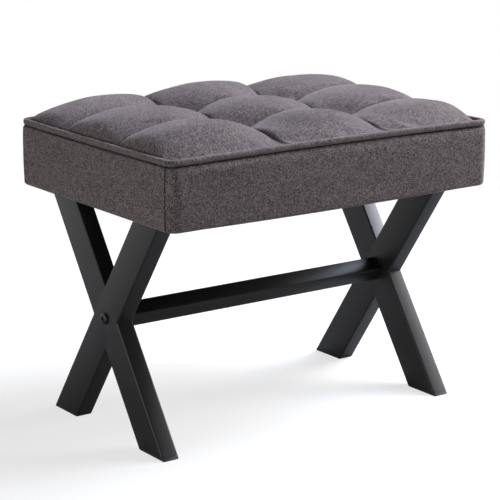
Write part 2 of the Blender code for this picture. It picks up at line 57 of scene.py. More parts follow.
# Seat cloth
SEAT_CORNER_RADIUS = 0.0165
CLOTH_THICKNESS = 0.0018
EDGE_RADIUS = 0.005  # fold along the lower edge of a band
FOLD_INSET = 0.016  # how far a band is turned under the board
FRONT_DRAW = 0.0036  # the piping seam pulls the front and back in by this much
SIDE_DRAW = 0.0008  # and the sides by this much
FRONT_SHOULDER = 0.014  # height over which a band turns in to that seam, at front and back
SIDE_SHOULDER = 0.003  # and at the sides
SHOULDER_CURVE = 2.5  # the higher, the nearer to the seam a band turns in
PIPING_SLOT = 0.0013  # gap under the piping
SLOT_DEPTH = 0.0018  # to where the band turns up to the piping
SLOT_STEP = 0.0006  # that place lies at least this far behind the band's face
SLOT_LEAN = 0.0002  # of the cloth that runs up from there
SLOT_POINTS = 3  # points of a band's section in the slot
BULGE = 0.0007  # foam pushes the middle of a band out by this much
LOWER_HANG = 0.001  # fold below the face of the dust cover
CORNER_SEAM_TURN = radians(77)  # front and back bands reach this far round each corner
SEAM_LIP = 0.0020  # width of cloth that rolls into a corner seam
SEAM_DEPTH = 0.0018
LIP_STEPS = 4
SEAM_GAP = 0.0006  # between the two cloths of a seam
TOP_SETTLE = 0.0008  # the sewn top edge lies this far down in the foam
FRONT_BOW = 0.0022  # it rises by this much halfway along front and back
SIDE_SAG = 0.0008  # and sinks by this much halfway along the sides
LOWER_SAG = 0.0016  # the lower edge hangs by this much between the frames
LOWER_SAG_SPAN = 0.8  # over this share of the seat's width
SLACK = 0.0005  # unevenness of cloth over foam
SLACK_LENGTH = 0.07
FINE_SLACK = 0.4  # share of a finer unevenness on top of it
FINE_SLACK_RATE = 3.1  # how much finer that is
FRONT_FACING = -0.5  # the front band's normals point further forward than this
ROLL_HEIGHT = 0.0016  # slack roll in the front band, under the piping at the left
ROLL_CENTRE = Vector((-0.175, 0.007))  # along the front, and down from the seam
ROLL_SPREAD = Vector((0.060, 0.0055))
STATION_STEP = 0.005  # along the seat's outline
CORNER_STEPS = 10  # a quarter turn of the seat's corner
FOLD_STEPS = 6
WALL_STEPS = 22
WALL_CROWDING = 1.7  # the higher, the more of these steps lie near the piping
PIPING_SETBACK = 0.0006  # piping behind the fullest part of the bands
PIPING_SIDES = 20
PIPING_SQUARENESS = 3.0  # 2 is a round section
PIPING_UNEVENNESS = 0.03  # of its thickness, as a share
PIPING_UNEVEN_LENGTH = 0.02
PIPING_SHADE_LINE = 0.95  # lower than this share of its radius, it lies in the seam and gets painted shade

# Tufted top
TUFT_SEAMS_X = (-0.082, 0.088)
TUFT_SEAMS_Y = (-0.058, 0.0713)
SEAM_LEAN = (0.0074, 0.0064)  # seams end this much further right at the front, and back at the left
FRONT_BEND = 0.012  # the seams turn to the right by this just before the front
FRONT_BEND_CURVE = 12  # the higher, the nearer to the front they turn
TUFT_CELLS = (32, 24)  # faces across one pillow
TUFT_CROWDING = 0.6  # how much the faces crowd to the seams
VALLEY_RISE = 0.001  # sewn valleys above the panel's edge, inside the panel
VALLEY_SPREAD = 7  # the higher, the nearer to the edge the valleys drop
PANEL_SINK = 0.002  # edge of the panel below the middle of the piping
CROWN = 0.0343  # of a pillow above the middle of the piping
CROWN_DROP = 0.0094  # the pillows flatten by this much toward the right front corner
BACK_CORNER_DROP = 0.0044  # and the two in the back corners by this much
PILLOW_BREADTH = 1.88  # the higher, the flatter the middle of a pillow
# rows of pillows from front to back: how far the crowns lie to the right, and
# the fullness at the seams and at the edge on their right
PILLOW_ROWS = ((0.29, 0.42, 0.30), (0.29, 0.238, 0.30), (0.42, 0.12, 0.18))
LEFT_FULLNESS = 0.153  # the lower, the steeper a pillow's left side
SEAM_FULLNESS_Y = (0.211, 0.211)  # and its front and back sides
SIDE_FULLNESS = 0.30  # the same next to the piping of the sides,
FRONT_FULLNESS = 1.6  # of the front
BACK_FULLNESS = 0.21  # and of the back
TACK_DEPTH = 0.985  # pull of the tacks where seams cross or end, as a share of the height
TACK_RADIUS = 0.047
FRONT_TACK_RADIUS = 0.06
FRONT_TACK_SHIFT = 0.02  # the pull there reaches more into the pillow on its right
FLAT_CROWN_SHARE = 0.94  # the cloth starts from pillows this full, and is blown up
FILL_FRAMES = 16
FILL_REACH = 0.010  # no point of the cloth moves further than this
FILL_CLOTH = {  # the cloth grows a little, and is pushed out
    "quality": 6, "mass": 0.2, "tension_stiffness": 15, "compression_stiffness": 15, "shear_stiffness": 7,
    "bending_stiffness": 2.0, "shrink_min": -0.012, "use_pressure": True, "uniform_pressure_force": 3.0}
VALLEY_CREASE = 0.9

# Inside and under the seat
FOAM_ROUND = 0.006  # upper edges of the foam
DUST_COVER_THICKNESS = 0.0006
DUST_COVER_SAG = 0.0006
DUST_COVER_RIPPLE = 0.0002
DUST_COVER_RIPPLES = (9, 7)  # across and deep, from the middle to an edge
DUST_COVER_CELLS = (60, 42)
STAPLE_SPACING = 0.042
STAPLE_CROWN = 0.010
STAPLE_LEG = 0.0025
STAPLE_WIRE = 0.0007
STAPLE_SIDES = 6
STAPLE_INSET = 0.006  # from the edge of the dust cover
STAPLE_SKEW = 0.15  # the most that a staple is turned
STAPLE_SEED = 11

# X frames
LEG_WIDTH = 0.050
LEG_EDGE_RADIUS = 0.0025
WELD_FILLET = 0.001
EDGE_STEPS = 5
FILLET_STEPS = 4
SMOOTH_ANGLE = radians(38)
MERGE_DISTANCE = 0.00001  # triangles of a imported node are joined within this

# Cloth's look
CLOTH_MAP = "cloth"  # flat place of the cloth, in metres
CLOTH_PITCH = 0.00105  # of the yarns
CLOTH_TONES = ((0.41, (0.023, 0.018, 0.018)), (0.50, (0.091, 0.073, 0.072)), (0.59, (0.270, 0.223, 0.220)))
CLOTH_TINTS = ((0.38, (1.0, 0.95, 0.93)), (0.62, (0.96, 0.97, 1.0)))
SLUB_NARROWING = 0.22  # thick and thin stretches run along the yarns
SLUB_SHARE = 0.4  # of the tone; the rest is fleck
SLUB_RELIEF = 1.2  # against the relief of the yarns
PAINTED_SHADE_MAP = "crease"  # painted shade: 1 where the cloth runs into a seam, 0 elsewhere
SEAM_SHADE_REACH = 0.0008  # from a seam to where its painted shade ends
PAINTED_SEAM_SHADE = 0.2  # tone that the painted shade leaves, as a share of the cloth's
TUCK_SHADE_REACH = 0.0025  # the same painted shade for the tucked seams of the top
# strength of that painted shade along the tucks
TUCK_SHADE_DEPTH = 0.6
FRONT_TUCK_SHADE_REACH = 0.016  # and for their ends at the front
GRAIN_RANGE = (0.3, 0.7)  # of a grain's noise, from its first colour to its second

# Studio
LIGHT_AIM = Vector((0, 0, 0.35))
PLAIN = (1.0, 1.0, 1.0)
WARM = (1.02, 1.0, 0.96)
COOL = (0.91, 0.98, 1.21)
SOFTBOXES = {  # place, size, power and colour
    "right_key": ((2.2, -0.4, 1.2), (1.0, 1.0), 71, WARM),
    "right_top": ((1.7, -0.35, 1.9), (1.0, 1.0), 54, COOL),
    "top": ((0.9, -0.3, 2.3), (1.0, 1.0), 26, COOL),
    "left_fill": ((-2.2, -0.3, 0.35), (1.2, 0.7), 16, PLAIN),
}
AMBIENT = 0.16  # light from all round
WHITE_SIDE = (0.0, 1.0, 0.0)  # the backdrop, behind the stool
MIRROR_FADE = (-0.5, 0.3)  # toward that side, where what is mirrored turns from dark to white
MIRROR_DARK = 0.2
FLOOR_HALF_SIZE = 6.0
FLOOR_FADE = (0.7, 1.6)  # distances over which the floor turns plain white
FLOOR_BOUNCE = 0.45  # tone of the floor as it lights the stool
FLOOR_TONE = 0.30  # and as it is seen
FLOOR_GLOW = 0.70  # makes it white where no shadow falls
FLOOR_MIRROR_GLOW = 0.09  # the same where it is mirrored

# Camera
IMAGE_SIZE = 500
FOCAL_PIXELS = 1867.4
SENSOR_WIDTH = 36.0
CAMERA_AZIMUTH = radians(-35.797)
CAMERA_ELEVATION = radians(14.016)
CAMERA_ROLL = radians(0.199)
CAMERA_DISTANCE = 2.6207
CAMERA_TARGET = Vector((-0.0071, 0.0, 0.2221))

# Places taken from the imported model
BAND_BOXES = [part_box(f"band_{side}") for side in ("front", "back", "left", "right")]
HALF_WIDTH = max(high.x for _, high in BAND_BOXES)
HALF_DEPTH = max(high.y for _, high in BAND_BOXES)
UNDERSIDE = min(low.z for low, _ in BAND_BOXES)
SEAM_HEIGHT = max(high.z for _, high in BAND_BOXES)
PIPING_LOW, PIPING_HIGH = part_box("piping")
PIPING_RADIUS = (PIPING_HIGH.z - PIPING_LOW.z) / 2
PIPING_HEIGHT = (PIPING_HIGH.z + PIPING_LOW.z) / 2
PIPING_INSET = PIPING_RADIUS + PIPING_SETBACK
PANEL_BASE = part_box("tufted_top")[0].z
PANEL_INSET = PIPING_INSET + PIPING_RADIUS
SEAT_CORNERS = ((1, 1), (-1, 1), (-1, -1), (1, -1))  # counter-clockwise from +X +Y
BAND_FACING = {"right": 0, "back": 1, "left": 2, "front": 3}  # quarter turns from +X
UP = Vector((0, 0, 1))
TINY = 1e-9  # keeps a division from zero


# Materials
def add_node(tree, kind, inputs=None, **settings):
    """New node with its settings, and its inputs set to values or linked to sockets."""
    node = tree.nodes.new(kind)
    for name, value in settings.items():
        setattr(node, name, value)
    for name, value in (inputs or {}).items():
        if isinstance(value, bpy.types.NodeSocket):
            tree.links.new(value, node.inputs[name])
        else:
            node.inputs[name].default_value = value
    return node


def calculate(tree, operation, first, second=0.0):
    """Output of one math node."""
    return add_node(tree, "ShaderNodeMath", {0: first, 1: second}, operation=operation).outputs[0]


def mix(tree, factor, first, second):
    """Value between two others."""
    return add_node(tree, "ShaderNodeMix", {0: factor, 2: first, 3: second}).outputs[0]


def tinted(tree, factor, colour, tint):
    """Colour multiplied by a tint, as far as the factor says."""
    node = add_node(tree, "ShaderNodeMix", {0: factor, 6: colour, 7: tint},
                    data_type="RGBA", blend_type="MULTIPLY")
    return node.outputs[2]


def noise_texture(tree, place, scale, detail, roughness=0.5):
    """Output of one noise texture."""
    node = add_node(tree, "ShaderNodeTexNoise", {
        "Vector": place, "Scale": scale, "Detail": detail, "Roughness": roughness})
    return node.outputs["Fac"]


def stretched(tree, place, factors):
    """Place multiplied along each axis."""
    node = add_node(tree, "ShaderNodeVectorMath", {0: place, 1: factors}, operation="MULTIPLY")
    return node.outputs["Vector"]


def ramp(tree, factor, stops):
    """Colour ramp through stops of place and colour."""
    node = add_node(tree, "ShaderNodeValToRGB", {"Fac": factor})
    elements = node.color_ramp.elements
    while len(elements) < len(stops):
        elements.new(0.5)
    for element, (place, colour) in zip(elements, stops):
        element.position = place
        element.color = (*colour, 1.0)
    return node.outputs["Color"]


def remap(tree, value, span=(0.0, 1.0), result=(0.0, 1.0), way="LINEAR"):
    """Turn a span of values into a range."""
    node = add_node(tree, "ShaderNodeMapRange", {
        "Value": value, "From Min": span[0], "From Max": span[1], "To Min": result[0], "To Max": result[1]},
        interpolation_type=way)
    return node.outputs["Result"]


def mix_shader(tree, factor, first, second):
    """Shader between two others."""
    return add_node(tree, "ShaderNodeMixShader", {0: factor, 1: first, 2: second}).outputs[0]


def new_material(name, inputs):
    """Principled material; values go straight onto its sockets."""
    material = bpy.data.materials.new(name)
    material.use_nodes = True
    tree = material.node_tree
    shader = tree.nodes["Principled BSDF"]
    for socket, value in inputs.items():
        shader.inputs[socket].default_value = value
    return material, tree, shader


def add_relief(tree, shader, height, strength, distance):
    """Fine relief on a material."""
    bump = add_node(tree, "ShaderNodeBump", {"Strength": strength, "Distance": distance, "Height": height})
    tree.links.new(bump.outputs["Normal"], shader.inputs["Normal"])


def cloth_material(name, turn=0.0):
    """Plain-woven melange cloth; the weave follows the cloth's flat place."""
    material, tree, shader = new_material(name, {
        "Roughness": 0.92, "Specular IOR Level": 0.25, "Sheen Weight": 0.42,
        "Sheen Roughness": 0.22, "Sheen Tint": (0.95, 0.92, 1.0, 1.0)})
    place = add_node(tree, "ShaderNodeUVMap", uv_map=CLOTH_MAP).outputs["UV"]
    yarns = add_node(tree, "ShaderNodeMapping", {
        "Vector": place, "Rotation": (0, 0, turn), "Scale": (1 / CLOTH_PITCH, 1 / CLOTH_PITCH, 1),
        "Location": (0.25, 0.25, 0.5)}).outputs["Vector"]
    over = add_node(tree, "ShaderNodeTexChecker", {"Vector": yarns, "Scale": 1.0}).outputs["Fac"]
    slubs = [noise_texture(tree, stretched(tree, yarns, factors), scale=0.9, detail=2.0, roughness=0.6)
             for factors in ((1.0, SLUB_NARROWING, 1.0), (SLUB_NARROWING, 1.0, 1.0))]
    slub = mix(tree, over, *slubs)
    fleck = noise_texture(tree, yarns, scale=1.3, detail=1.0)
    tree.links.new(cloth_colour(tree, place, slub, fleck), shader.inputs["Base Color"])
    wave = add_node(tree, "ShaderNodeSeparateXYZ", {"Vector": yarns}).outputs
    crowns = []
    for axis in ("X", "Y"):
        half_turns = calculate(tree, "MULTIPLY", wave[axis], pi)
        crowns.append(calculate(tree, "ABSOLUTE", calculate(tree, "SINE", half_turns)))
    height = calculate(tree, "ADD", mix(tree, over, *crowns), calculate(tree, "MULTIPLY", slub, SLUB_RELIEF))
    add_relief(tree, shader, height, strength=0.5, distance=0.0003)
    return material


def cloth_colour(tree, place, slub, fleck):
    """Colour of the yarns, in faint patches, with painted shade where the cloth runs into a seam."""
    tone = calculate(tree, "ADD", calculate(tree, "MULTIPLY", slub, SLUB_SHARE),
                     calculate(tree, "MULTIPLY", fleck, 1 - SLUB_SHARE))
    patch = noise_texture(tree, place, scale=90.0, detail=1.0)
    dyed = tinted(tree, 1.0, ramp(tree, tone, CLOTH_TONES), ramp(tree, patch, CLOTH_TINTS))
    # painted shade, read from its map, darkens the cloth in seams and tucks
    crease = add_node(tree, "ShaderNodeUVMap", uv_map=PAINTED_SHADE_MAP).outputs["UV"]
    shade_share = add_node(tree, "ShaderNodeSeparateXYZ", {"Vector": crease}).outputs["X"]
    return tinted(tree, shade_share, dyed, (PAINTED_SEAM_SHADE, PAINTED_SEAM_SHADE, PAINTED_SEAM_SHADE, 1.0))


def coat_material():
    """Satin black powder coat with a fine orange peel."""
    material, tree, shader = new_material("powder_coat_black", {
        "Base Color": (0.009, 0.009, 0.0093, 1.0), "Specular IOR Level": 0.35})
    place = add_node(tree, "ShaderNodeTexCoord").outputs["Object"]
    cloud = noise_texture(tree, place, scale=30.0, detail=3.0)
    peel = noise_texture(tree, place, scale=900.0, detail=2.0)
    tree.links.new(remap(tree, cloud, result=(0.36, 0.46)), shader.inputs["Roughness"])
    add_relief(tree, shader, peel, strength=0.12, distance=0.0002)
    return material


def grained_material(name, inputs, scale, colours, roughness, relief, stretch=(1, 1, 1)):
    """Material with one grain that drives colour, roughness and relief."""
    material, tree, shader = new_material(name, inputs)
    place = add_node(tree, "ShaderNodeTexCoord").outputs["Object"]
    grain = noise_texture(tree, stretched(tree, place, stretch), scale, detail=4.0, roughness=0.6)
    tree.links.new(ramp(tree, grain, tuple(zip(GRAIN_RANGE, colours))), shader.inputs["Base Color"])
    tree.links.new(remap(tree, grain, result=roughness), shader.inputs["Roughness"])
    add_relief(tree, shader, grain, *relief)
    return material


def make_materials():
    """Finish of every slot, by the record's slot name."""
    return {
        "seat_cloth": cloth_material("seat_cloth_woven"),
        "piping_cloth": cloth_material("seat_cloth_on_the_bias", pi / 4),
        "powder_coat": coat_material(),
        "foot_plastic": grained_material(
            "foot_plastic_matte", {"Specular IOR Level": 0.4}, scale=700.0,
            colours=((0.010, 0.010, 0.010), (0.014, 0.014, 0.0145)),
            roughness=(0.5, 0.65), relief=(0.15, 0.0002)),
        "black_steel": grained_material(
            "black_oxide_steel", {"Metallic": 0.6}, scale=500.0,
            colours=((0.014, 0.014, 0.015), (0.030, 0.030, 0.031)),
            roughness=(0.32, 0.5), relief=(0.1, 0.0001)),
        "zinc": grained_material(
            "zinc_plate", {"Metallic": 1.0}, scale=350.0,
            colours=((0.56, 0.56, 0.53), (0.68, 0.68, 0.67)),
            roughness=(0.28, 0.42), relief=(0.1, 0.0001)),
        "dust_cloth": grained_material(
            "dust_cloth_felted", {"Specular IOR Level": 0.2, "Sheen Weight": 0.15}, scale=600.0,
            colours=((0.012, 0.012, 0.013), (0.032, 0.032, 0.034)),
            roughness=(0.88, 0.98), relief=(0.5, 0.0004)),
        "foam": grained_material(
            "foam_open_cell", {"Specular IOR Level": 0.2}, scale=900.0,
            colours=((0.58, 0.52, 0.36), (0.76, 0.70, 0.52)),
            roughness=(0.9, 1.0), relief=(0.6, 0.0006)),
        "plywood": grained_material(
            "plywood_birch", {"Specular IOR Level": 0.35}, scale=60.0,
            colours=((0.42, 0.28, 0.15), (0.58, 0.43, 0.26)),
            roughness=(0.62, 0.8), relief=(0.2, 0.0003), stretch=(0.15, 1.0, 4.0)),
    }


# Meshes
def loft(shape, rows, closed_rows=False, closed_ring=True):
    """Quads between rows of vertices of equal count."""
    pairs = list(zip(rows, rows[1:]))
    if closed_rows:
        pairs.append((rows[-1], rows[0]))
    count = len(rows[0])
    for low, high in pairs:
        for index in range(count if closed_ring else count - 1):
            following = (index + 1) % count
            shape.faces.new((low[index], low[following], high[following], high[index]))


def loft_capped(shape, rows):
    """Quads between rings of vertices, with a face at each end."""
    loft(shape, rows)
    shape.faces.new(rows[0])
    shape.faces.new(rows[-1])


def quarter_round(radius):
    """Steps round an edge, as distances from the two faces that it joins."""
    turns = [pi / 2 * step / EDGE_STEPS for step in range(EDGE_STEPS + 1)]
    return [(radius * (1 - cos(turn)), radius * (1 - sin(turn))) for turn in turns]


def new_rows(shape, points):
    """Vertices for rows of points."""
    return [[shape.verts.new(point) for point in row] for row in points]


def lay_cloth(shape, flats, seam_shades):
    """Write the flat place of each vertex, and the shade painted on it where it lies in a seam, to the
    cloth's maps.
    """
    flat_map = shape.loops.layers.uv.new(CLOTH_MAP)
    painted_shade_layer = shape.loops.layers.uv.new(PAINTED_SHADE_MAP)
    for face in shape.faces:
        for corner in face.loops:
            corner[flat_map].uv = flats[corner.vert]
            corner[painted_shade_layer].uv = (seam_shades[corner.vert], 0.0)


def mesh_from(name, shape):
    """Mesh from a shape, which is used up."""
    mesh = bpy.data.meshes.new(name)
    shape.to_mesh(mesh)
    shape.free()
    return mesh


def new_object(name, data):
    """Object in the scene."""
    item = bpy.data.objects.new(name, data)
    bpy.context.scene.collection.objects.link(item)
    return item


def finish_piece(name, shape, materials, slot, sharp=None, finish=None):
    """Object from a shape, smooth shaded, riding on the stool; its finish is its slot's or another."""
    bmesh.ops.recalc_face_normals(shape, faces=shape.faces[:])
    mesh = mesh_from(name, shape)
    mesh.materials.append(materials[finish or slot])
    mesh.shade_smooth()
    if sharp:
        mesh.set_sharp_from_angle(angle=sharp)
    piece = new_object(name, mesh)
    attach(piece, BODY)
    return piece


def smoothing_group():
    """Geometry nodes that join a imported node's triangles and shade its round stretches smooth."""
    group = bpy.data.node_groups.new("smooth_round_stretches", "GeometryNodeTree")
    for way in ("INPUT", "OUTPUT"):
        group.interface.new_socket("Geometry", in_out=way, socket_type="NodeSocketGeometry")
    angle = add_node(group, "GeometryNodeInputMeshEdgeAngle").outputs["Unsigned Angle"]
    is_round = calculate(group, "LESS_THAN", angle, SMOOTH_ANGLE)
    steps = (("GeometryNodeRemoveAttribute", {"Name": "custom_normal"}, {}),
             ("GeometryNodeMergeByDistance", {"Distance": MERGE_DISTANCE}, {}),
             ("GeometryNodeSetShadeSmooth", {}, {"domain": "FACE"}),
             ("GeometryNodeSetShadeSmooth", {"Shade Smooth": is_round}, {"domain": "EDGE"}),
             ("NodeGroupOutput", {}, {}))
    last = add_node(group, "NodeGroupInput")
    for kind, inputs, settings in steps:
        last = add_node(group, kind, {0: last.outputs[0], **inputs}, **settings)
    return group


def dress_packed_nodes(materials):
    """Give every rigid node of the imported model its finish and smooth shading."""
    group = smoothing_group()
    slots = {part["node"]: part["material_slot"] for part in frame["record"]["subparts"]}
    for name, node in frame["nodes"].items():
        node.material_slots[0].material = materials[slots[name]]
        node.modifiers.new("smooth", "NODES").node_group = group


# Seat cloth
def edge_rise(x, y):
    """How far the seat's top edge bows up at a place in plan."""
    bow = FRONT_BOW * (1 - (x / HALF_WIDTH) ** 2)
    return bow - SIDE_SAG * (1 - (y / HALF_DEPTH) ** 2) - TOP_SETTLE


def corner_centre(corner):
    """Centre of the round of one corner of the seat."""
    return Vector((corner[0] * (HALF_WIDTH - SEAT_CORNER_RADIUS),
                   corner[1] * (HALF_DEPTH - SEAT_CORNER_RADIUS), 0))


def side_stations(quarter, turn):
    """Outline points with outward normals along one side, a turn round the corner at each end."""
    facing = pi / 2 * quarter
    steps = max(2, round(CORNER_STEPS * turn / (pi / 2)))
    arcs = []
    for corner, first in ((SEAT_CORNERS[quarter - 1], facing - turn), (SEAT_CORNERS[quarter], facing)):
        arc = []
        for step in range(steps + 1):
            angle = first + turn * step / steps
            normal = Vector((cos(angle), sin(angle), 0))
            arc.append((corner_centre(corner) + normal * SEAT_CORNER_RADIUS, normal))
        arcs.append(arc)
    start, normal = arcs[0][-1]
    end = arcs[1][0][0]
    count = round((end - start).length / STATION_STEP)
    straight = [(start.lerp(end, step / count), normal) for step in range(1, count)]
    return arcs[0] + straight + arcs[1]


def with_seam_lips(stations):
    """Close stations at both ends, where the cloth rolls into the seam."""
    for end, way in ((0, 1), (-1, -1)):
        point, normal = stations[end]
        along = UP.cross(normal) * way
        rolled = [(point + along * (SEAM_GAP / 2 + SEAM_LIP * (step / LIP_STEPS) ** 2), normal)
                  for step in range(LIP_STEPS + 1)]
        if end == 0:
            stations = rolled + stations[1:]
        else:
            stations = stations[:-1] + rolled[::-1]
    return stations


def run_lengths(stations):
    """Distance along the stations from the first."""
    lengths = [0.0]
    for (before, _), (after, _) in zip(stations, stations[1:]):
        lengths.append(lengths[-1] + (after - before).length)
    return lengths


def seam_roll(distance):
    """How deep the cloth has rolled in at a distance from its seam."""
    share = max(0.0, 1 - distance / SEAM_LIP)
    return SEAM_DEPTH * (1 - sqrt(1 - share ** 2))


def wall_inset(normal, below_seam, share):
    """How far a band lies inside the seat's outline."""
    draw = SIDE_DRAW + (FRONT_DRAW - SIDE_DRAW) * normal.y ** 2
    shoulder = SIDE_SHOULDER + (FRONT_SHOULDER - SIDE_SHOULDER) * normal.y ** 2
    turned_in = max(0.0, 1 - below_seam / shoulder) ** SHOULDER_CURVE
    return draw * turned_in - BULGE * sin(pi * share)


def slack(point, height):
    """Unevenness of cloth over foam."""
    place = Vector((point.x, point.y, height)) / SLACK_LENGTH
    return SLACK * (noise.noise(place) + FINE_SLACK * noise.noise(place * FINE_SLACK_RATE))


def front_roll(point, normal, below_seam):
    """Slack roll under the piping at the left of the front band."""
    if normal.y > FRONT_FACING:
        return 0.0
    across = (point.x - ROLL_CENTRE.x) / ROLL_SPREAD.x
    down = (below_seam - ROLL_CENTRE.y) / ROLL_SPREAD.y
    return ROLL_HEIGHT * exp(-across ** 2 - down ** 2)


def lower_sag(point, normal):
    """How far the lower edge hangs, between the frames at front and back."""
    return LOWER_SAG * abs(normal.y) * max(0.0, 1 - (point.x / (HALF_WIDTH * LOWER_SAG_SPAN)) ** 2)


def band_section(point, normal, roll):
    """Outer line of a band at one station, as insets and heights from its fold to the piping."""
    foot = UNDERSIDE - LOWER_HANG - lower_sag(point, normal)
    wall_foot = foot + EDGE_RADIUS
    seam = SEAM_HEIGHT + edge_rise(point.x, point.y)
    top = seam - PIPING_SLOT
    outside = [(FOLD_INSET, UNDERSIDE), ((FOLD_INSET + EDGE_RADIUS) / 2, (UNDERSIDE + foot) / 2)]
    for step in range(FOLD_STEPS):
        turn = pi / 2 * step / FOLD_STEPS
        outside.append((EDGE_RADIUS * (1 - sin(turn)), wall_foot - EDGE_RADIUS * cos(turn)))
    for step in range(WALL_STEPS + 1):
        share = 1 - (1 - step / WALL_STEPS) ** WALL_CROWDING
        height = wall_foot + share * (top - wall_foot)
        below = top - height
        fade = sqrt(sin(pi * share))
        inset = wall_inset(normal, below, share) + fade * slack(point, height)
        outside.append((inset - front_roll(point, normal, below), height))
    lip = max(SLOT_DEPTH, outside[-1][0] + SLOT_STEP)
    outside += [(lip, top), (lip + SLOT_LEAN, seam)]
    return [(inset + roll, height) for inset, height in outside]


def thicken(section):
    """Close a section with an inner line, one cloth thickness behind it."""
    inner = []
    for index, (inset, height) in enumerate(section):
        before = section[max(index - 1, 0)]
        after = section[min(index + 1, len(section) - 1)]
        along = Vector((after[0] - before[0], after[1] - before[1])).normalized()
        inner.append((inset + along.y * CLOTH_THICKNESS, height - along.x * CLOTH_THICKNESS))
    return inner[::-1]


def make_band(side, materials):
    """One side band, sewn to its neighbours near the corners and turned under the board."""
    quarter = BAND_FACING[side]
    turn = CORNER_SEAM_TURN if quarter % 2 else pi / 2 - CORNER_SEAM_TURN
    stations = with_seam_lips(side_stations(quarter, turn))
    lengths = run_lengths(stations)
    shape = bmesh.new()
    rows = []
    flats = {}
    seam_shades = {}
    for (point, normal), length in zip(stations, lengths):
        to_corner = min(length, lengths[-1] - length)
        outer = band_section(point, normal, seam_roll(to_corner))
        section = outer + thicken(outer)
        row = [shape.verts.new(point - normal * inset + UP * height) for inset, height in section]
        climb = 0.0
        # shade is painted near the corner seams and in the slot under the piping
        corner_shade = max(0.0, 1 - to_corner / SEAM_SHADE_REACH)
        for index, vertex in enumerate(row):
            if 0 < index < len(outer):
                climb += dist(section[index], section[index - 1])
            flats[vertex] = (length, climb if index < len(outer) else section[index][1] - UNDERSIDE)
            in_slot = len(outer) - SLOT_POINTS <= index < len(outer)
            seam_shades[vertex] = 1.0 if in_slot else corner_shade
        rows.append(row)
    loft_capped(shape, rows)
    lay_cloth(shape, flats, seam_shades)
    band = finish_piece(f"side_band_{side}", shape, materials, "seat_cloth", SMOOTH_ANGLE)
    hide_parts(f"band_{side}")
    climb = sum(dist(a, b) for a, b in zip(outer, outer[1:]))


def seat_outline():
    """Stations all the way round the seat."""
    stations = []
    for quarter in range(4):
        stations += side_stations(quarter, pi / 4)[:-1]
    return stations


def make_piping(materials):
    """Covered cord round the top edge."""
    stations = seat_outline()
    lengths = run_lengths(stations + stations[:1])
    shape = bmesh.new()
    rows = []
    flats = {}
    seam_shades = {}
    for (point, normal), length in zip(stations, lengths):
        height = PIPING_HEIGHT + edge_rise(point.x, point.y)
        radius = PIPING_RADIUS * (1 + PIPING_UNEVENNESS * noise.noise(point / PIPING_UNEVEN_LENGTH))
        row = []
        for side in range(PIPING_SIDES):
            turn = tau * side / PIPING_SIDES
            out, rise = (copysign(abs(part) ** (2 / PIPING_SQUARENESS), part) * radius
                         for part in (cos(turn), sin(turn)))
            vertex = shape.verts.new(point - normal * (PIPING_INSET - out) + UP * (height + rise))
            flats[vertex] = (length, PIPING_RADIUS * turn)
            # shade is painted along the bottom of the cord, in the seam
            seam_shades[vertex] = 1.0 if rise < -PIPING_SHADE_LINE * PIPING_RADIUS else 0.0
            row.append(vertex)
        rows.append(row)
    loft(shape, rows, closed_rows=True)
    lay_cloth(shape, flats, seam_shades)
    piping = finish_piece("piping_cord", shape, materials, "seat_cloth", finish="piping_cloth")
    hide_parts("piping")


# Tufted top
def smoothstep(share):
    """Ease from 0 to 1."""
    share = np.clip(share, 0, 1)
    return share * share * (3 - 2 * share)


def tuft_lines(seams, half, cells, at_seams, at_edges, skew):
    """Places of the grid lines along one way, with the swell of the pillows at each."""
    steps = np.arange(cells) / cells
    crowded = (1 - np.cos(np.pi * steps)) / 2
    steps = steps + TUFT_CROWDING * (crowded - steps)
    offset = 2 * steps - 1
    offset = offset - skew * (1 - offset ** 2)
    places = []
    swell = []
    stops = (-half, *seams, half)
    for number, (start, end) in enumerate(zip(stops, stops[1:])):
        low_side = at_edges[0] if number == 0 else at_seams[0]
        high_side = at_edges[1] if number == len(seams) else at_seams[1]
        fullness = low_side + (high_side - low_side) * smoothstep(offset + 0.5)
        places.append(start + (end - start) * steps)
        swell.append((1 - np.abs(offset) ** PILLOW_BREADTH) ** fullness)
    return np.append(np.concatenate(places), half), np.append(np.concatenate(swell), 0.0)


def round_corners(x, y, half_x, half_y, radius):
    """Draw the square corners of a grid in to round ones."""
    past_x = np.abs(x) - (half_x - radius)
    past_y = np.abs(y) - (half_y - radius)
    in_corner = (past_x > 0) & (past_y > 0)
    shrink = np.maximum(past_x, past_y) / np.maximum(np.hypot(past_x, past_y), TINY)
    new_x = np.copysign(half_x - radius + past_x * shrink, x)
    new_y = np.copysign(half_y - radius + past_y * shrink, y)
    return np.where(in_corner, new_x, x), np.where(in_corner, new_y, y)


